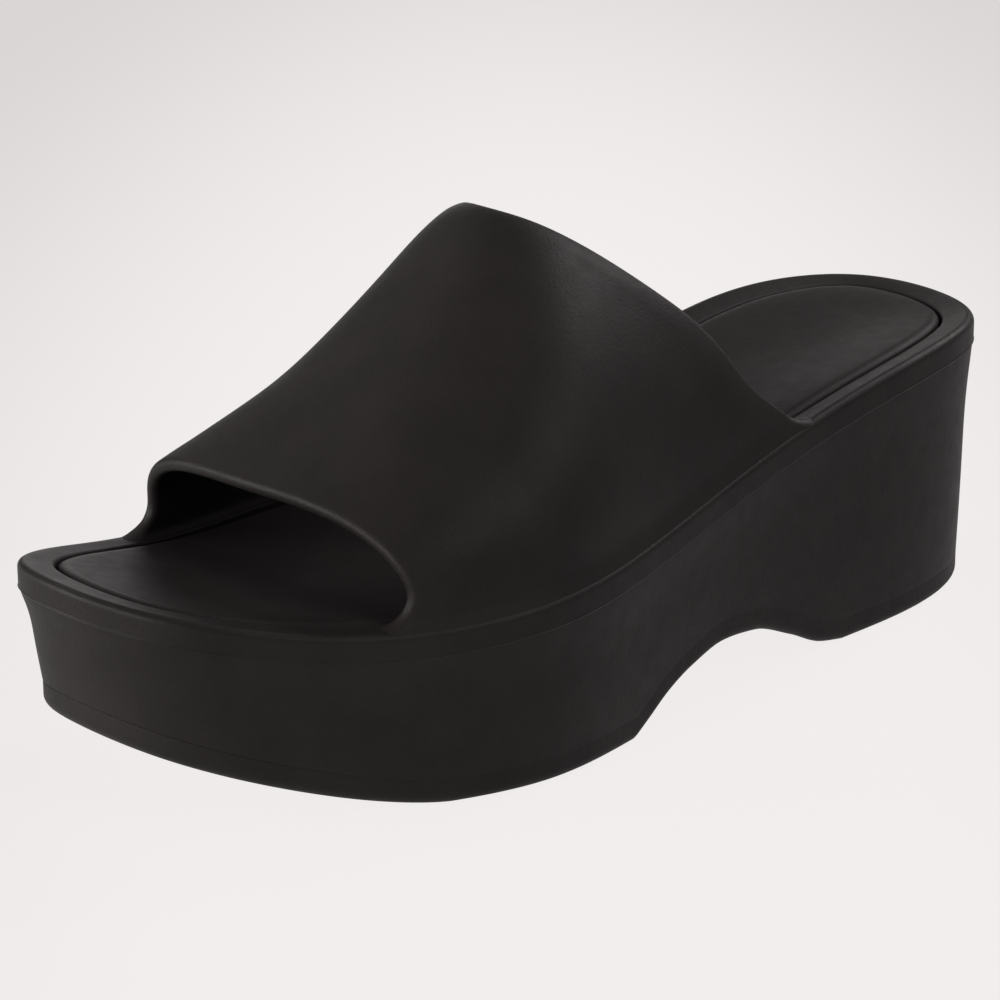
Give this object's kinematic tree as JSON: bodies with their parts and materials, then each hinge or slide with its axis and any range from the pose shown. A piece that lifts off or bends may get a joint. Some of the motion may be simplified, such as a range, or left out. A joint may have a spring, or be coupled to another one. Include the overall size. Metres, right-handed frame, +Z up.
{
  "type": "platform mule",
  "caption": "Left platform mule with one broad curved upper, open toe and heel, contoured footbed and a thick moulded sole with an arch.",
  "frame": {"origin": "on the floor, under the middle of the shoe's length and width", "axes": "+X towards the toe, +Y towards the wearer's left, which is the outer side of this left shoe, +Z up"},
  "size_m": [0.25, 0.0954, 0.1067],
  "materials": {
    "foam": "matt moulded foam with a faint sheen",
    "tread": "matt, slightly rougher than the foam",
    "footbed": "matt, slightly smoother than the sole"
  },
  "bodies": {
    "root": {"outsole": "tread", "platform": "foam", "footbed": "footbed", "upper": "foam"}
  },
  "joints": []
}
